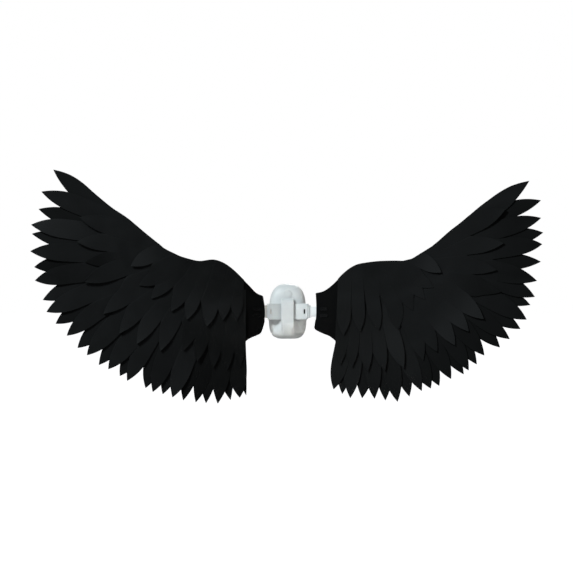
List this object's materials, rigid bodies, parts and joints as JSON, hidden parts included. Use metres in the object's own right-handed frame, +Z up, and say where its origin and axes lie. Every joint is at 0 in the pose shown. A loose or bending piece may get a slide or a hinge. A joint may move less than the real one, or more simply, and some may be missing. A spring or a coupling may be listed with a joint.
{
  "type": "motorized costume wings",
  "caption": "Motorized costume angel wings: a domed white motor housing worn on the back, with hinged arms that swing layered black foam feather wings open and closed.",
  "frame": {"origin": "middle of the motor housing's flat back face, where it lies on the wearer's back", "axes": "+Z up, +X towards the right wing as seen on the show side, +Y towards the wearer; the feathers' show side faces -Y"},
  "size_m": [1.0195, 0.1557, 0.4715],
  "materials": {
    "white_plastic": "satin moulded white plastic",
    "black_foam": "matte closed-cell black foam sheet",
    "dark_plastic": "matte black plastic",
    "pale_plastic": "matte pale grey-beige plastic",
    "steel_pin": "plain steel pin"
  },
  "bodies": {
    "housing": {"housing_shell": "white_plastic", "back_plate": "white_plastic", "spine_cover": "white_plastic", "plain_disc": "white_plastic", "left_hinge_pin": "steel_pin", "right_hinge_pin": "steel_pin"},
    "left_wing": {"left_arm": "white_plastic", "left_arm_lip": "pale_plastic", "left_latch_tab": "pale_plastic", "left_tongue": "white_plastic", "left_wing_panel": "black_foam", "left_upper_rivet": "dark_plastic", "left_lower_rivet": "dark_plastic", "left_back_flights": "black_foam", "left_front_flights": "black_foam", "left_middle_coverts": "black_foam", "left_upper_coverts": "black_foam"},
    "right_wing": {"right_arm": "white_plastic", "right_arm_lip": "white_plastic", "right_latch_tab": "dark_plastic", "right_tongue": "white_plastic", "right_wing_panel": "black_foam", "right_upper_rivet": "dark_plastic", "right_lower_rivet": "dark_plastic", "right_back_flights": "black_foam", "right_front_flights": "black_foam", "right_middle_coverts": "black_foam", "right_upper_coverts": "black_foam"}
  },
  "joints": [
    {"name": "left_hinge", "type": "hinge", "parent": "housing", "child": "left_wing", "pos_m": [-0.0106, -0.0392, 0], "axis": [0, 0, 1], "range_deg": [-12, 32]},
    {"name": "right_hinge", "type": "hinge", "parent": "housing", "child": "right_wing", "pos_m": [0.0106, -0.0392, 0], "axis": [0, 0, -1], "range_deg": [-12, 32]}
  ],
  "couplings": [
    {"joint": "right_hinge", "follows": "left_hinge", "ratio": 1}
  ]
}
